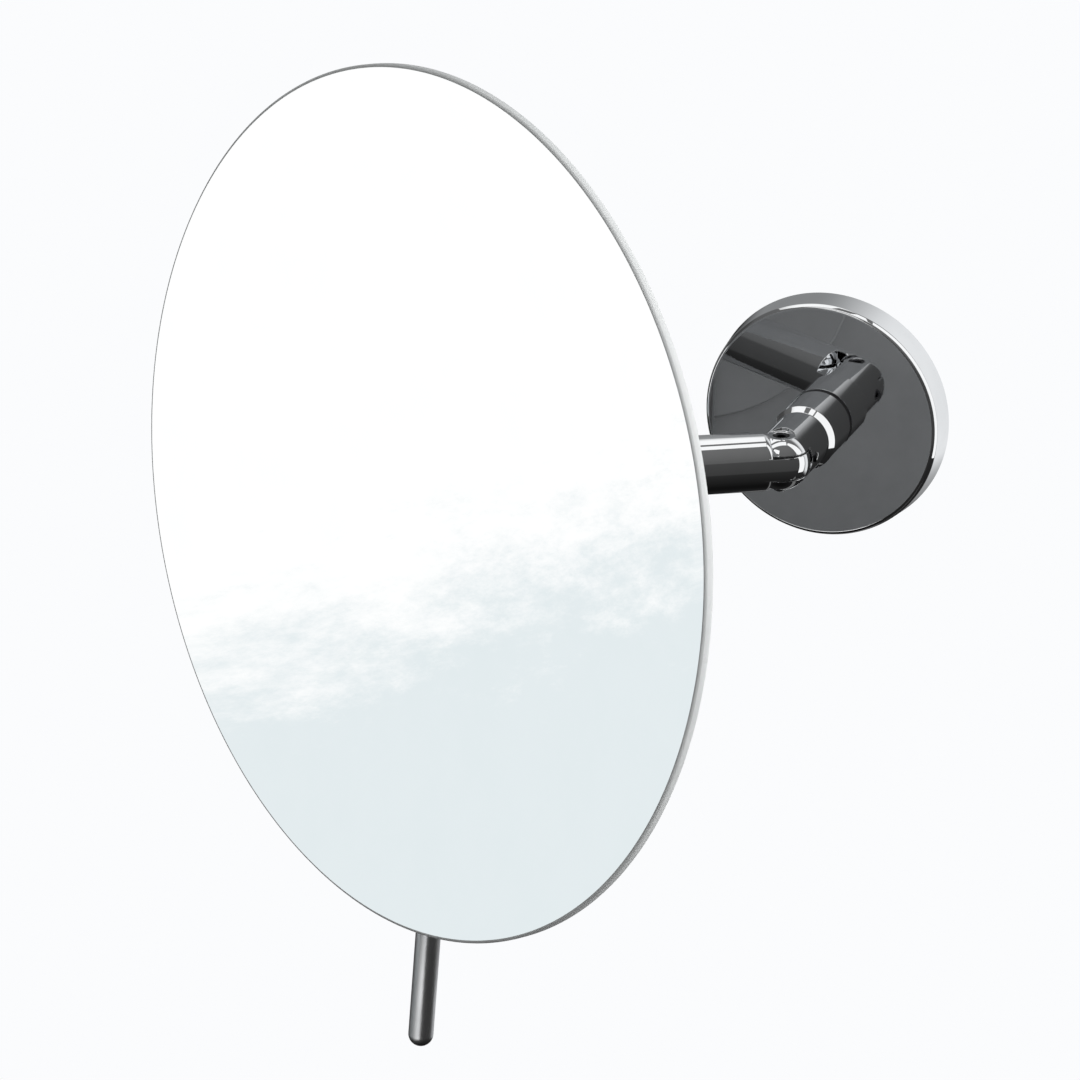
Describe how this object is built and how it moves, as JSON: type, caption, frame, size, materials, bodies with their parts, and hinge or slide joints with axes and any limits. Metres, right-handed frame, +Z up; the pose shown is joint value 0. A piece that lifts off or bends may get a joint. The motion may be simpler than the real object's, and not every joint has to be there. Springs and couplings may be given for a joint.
{
  "type": "swivel makeup mirror",
  "caption": "Round frameless magnifying mirror on a folding chromed arm with fork-and-tongue knuckles, a round wall rose and a thin handle rod below.",
  "frame": {"origin": "centre of the wall rose on the wall plane", "axes": "+Z up, +Y into the wall, +X to the right for someone who faces the wall; the room is towards -Y"},
  "size_m": [0.1842, 0.152, 0.2369],
  "materials": {
    "chrome": "polished",
    "zinc_steel": "zinc plated",
    "black_steel": "blackened",
    "black_plastic": "matte",
    "foam": "matte",
    "grey_enamel": "satin",
    "film": "satin",
    "mirror": "polished"
  },
  "bodies": {
    "wall_mount": {"wall_bracket": "zinc_steel", "wall_rose": "chrome", "rose_lock_screw": "black_steel", "post_washer": "black_plastic", "post": "chrome", "post_bolt": "zinc_steel", "post_spring_washer": "zinc_steel", "elbow_pin": "chrome", "elbow_brake_screw": "black_steel", "elbow_washer_dome_side": "black_plastic", "elbow_washer_socket_side": "black_plastic"},
    "arm": {"arm": "chrome"},
    "swivel_head": {"swivel_head": "chrome", "swivel_pin": "chrome", "swivel_brake_screw": "black_steel", "swivel_washer_dome_side": "black_plastic", "swivel_washer_socket_side": "black_plastic"},
    "mirror": {"hub": "chrome", "tilt_pin": "chrome", "tilt_brake_screw": "black_steel", "tilt_washer_dome_side": "black_plastic", "tilt_washer_socket_side": "black_plastic", "handle_rod": "chrome", "back_plate": "grey_enamel", "hub_bolt": "zinc_steel", "glue_pad": "foam", "safety_film": "film", "mirror_glass": "mirror"}
  },
  "joints": [
    {"name": "elbow_swing", "type": "hinge", "parent": "wall_mount", "child": "arm", "pos_m": [0, -0.0366, 0], "axis": [0, 0, 1], "range_deg": [-16.8, 73.2]},
    {"name": "mirror_swivel", "type": "hinge", "parent": "arm", "child": "swivel_head", "pos_m": [-0.0447, -0.06432, 0], "axis": [0, 0, 1], "range_deg": [-30.1, 49.9]},
    {"name": "mirror_tilt", "type": "hinge", "parent": "swivel_head", "child": "mirror", "pos_m": [-0.05342, -0.08064, 0], "axis": [-0.8821, 0.471, 0], "range_deg": [-35.7, 24.3]}
  ]
}
